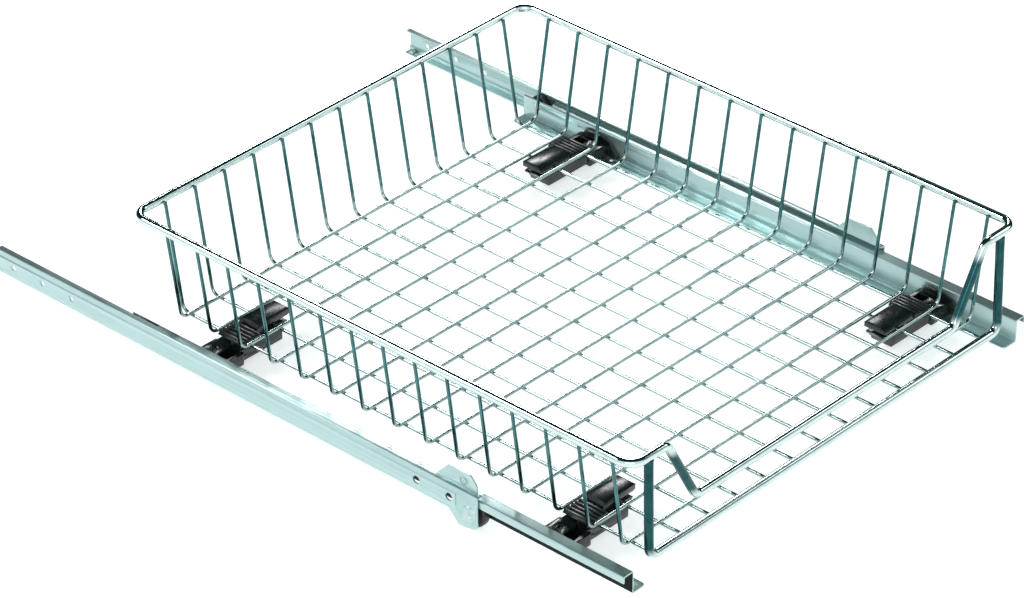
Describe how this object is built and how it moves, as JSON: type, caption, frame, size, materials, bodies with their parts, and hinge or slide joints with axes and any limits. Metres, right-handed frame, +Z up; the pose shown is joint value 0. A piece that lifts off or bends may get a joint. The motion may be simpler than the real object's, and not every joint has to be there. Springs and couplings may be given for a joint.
{
  "type": "pull-out cabinet basket",
  "caption": "Chromed wire basket with a low drop front, clipped onto roller runners so that it slides out of a cabinet.",
  "frame": {"origin": "under the middle of the whole assembly, at its lowest level, with the basket standing 137 mm out of the closed position as at rest", "axes": "+X to the right seen from the front, +Y to the back of the cabinet, +Z up"},
  "size_m": [0.468, 0.6374, 0.1148],
  "materials": {
    "chrome_wire": "bright chrome plating on drawn steel wire",
    "rail_steel": "satin silver-grey epoxy coat on folded steel",
    "pin_steel": "zinc-plated rivet steel",
    "roller_plastic": "black nylon",
    "clip_plastic": "black satin moulded plastic",
    "latch_plastic": "black satin moulded plastic with ribs"
  },
  "bodies": {
    "cabinet": {"left_cabinet_rail": "rail_steel", "right_cabinet_rail": "rail_steel", "left_front_axle": "pin_steel", "right_front_axle": "pin_steel"},
    "basket": {"top_rim": "chrome_wire", "front_frame": "chrome_wire", "cross_wires": "chrome_wire", "long_wires": "chrome_wire", "left_drawer_rail": "rail_steel", "right_drawer_rail": "rail_steel", "left_rear_axle": "pin_steel", "right_rear_axle": "pin_steel", "front_left_clip": "clip_plastic", "front_right_clip": "clip_plastic", "rear_left_clip": "clip_plastic", "rear_right_clip": "clip_plastic"},
    "left_front_roller": {"left_front_roller": "roller_plastic"},
    "right_front_roller": {"right_front_roller": "roller_plastic"},
    "left_rear_roller": {"left_rear_roller": "roller_plastic"},
    "right_rear_roller": {"right_rear_roller": "roller_plastic"},
    "front_left_latch": {"front_left_latch": "latch_plastic"},
    "front_right_latch": {"front_right_latch": "latch_plastic"},
    "rear_left_latch": {"rear_left_latch": "latch_plastic"},
    "rear_right_latch": {"rear_right_latch": "latch_plastic"}
  },
  "joints": [
    {"name": "basket_slide", "type": "slide", "parent": "cabinet", "child": "basket", "axis": [0, -1, 0], "range_m": [-0.137, 0.238]},
    {"name": "left_front_roller_spin", "type": "hinge", "parent": "cabinet", "child": "left_front_roller", "pos_m": [-0.2262, -0.17275, 0.0129], "axis": [1, 0, 0], "continuous": true},
    {"name": "left_rear_roller_spin", "type": "hinge", "parent": "basket", "child": "left_rear_roller", "pos_m": [-0.2266, 0.16825, 0.0202], "axis": [1, 0, 0], "continuous": true},
    {"name": "right_front_roller_spin", "type": "hinge", "parent": "cabinet", "child": "right_front_roller", "pos_m": [0.2262, -0.17275, 0.0129], "axis": [1, 0, 0], "continuous": true},
    {"name": "right_rear_roller_spin", "type": "hinge", "parent": "basket", "child": "right_rear_roller", "pos_m": [0.2266, 0.16825, 0.0202], "axis": [1, 0, 0], "continuous": true},
    {"name": "front_left_latch_slide", "type": "slide", "parent": "basket", "child": "front_left_latch", "axis": [-1, 0, 0], "range_m": [0, 0.0145]},
    {"name": "front_right_latch_slide", "type": "slide", "parent": "basket", "child": "front_right_latch", "axis": [1, 0, 0], "range_m": [0, 0.0145]},
    {"name": "rear_left_latch_slide", "type": "slide", "parent": "basket", "child": "rear_left_latch", "axis": [-1, 0, 0], "range_m": [0, 0.0145]},
    {"name": "rear_right_latch_slide", "type": "slide", "parent": "basket", "child": "rear_right_latch", "axis": [1, 0, 0], "range_m": [0, 0.0145]}
  ],
  "couplings": [
    {"joint": "left_front_roller_spin", "follows": "basket_slide", "rad_per_m": 80.645},
    {"joint": "left_rear_roller_spin", "follows": "basket_slide", "rad_per_m": 116.28},
    {"joint": "right_front_roller_spin", "follows": "basket_slide", "rad_per_m": 80.645},
    {"joint": "right_rear_roller_spin", "follows": "basket_slide", "rad_per_m": 116.28}
  ]
}
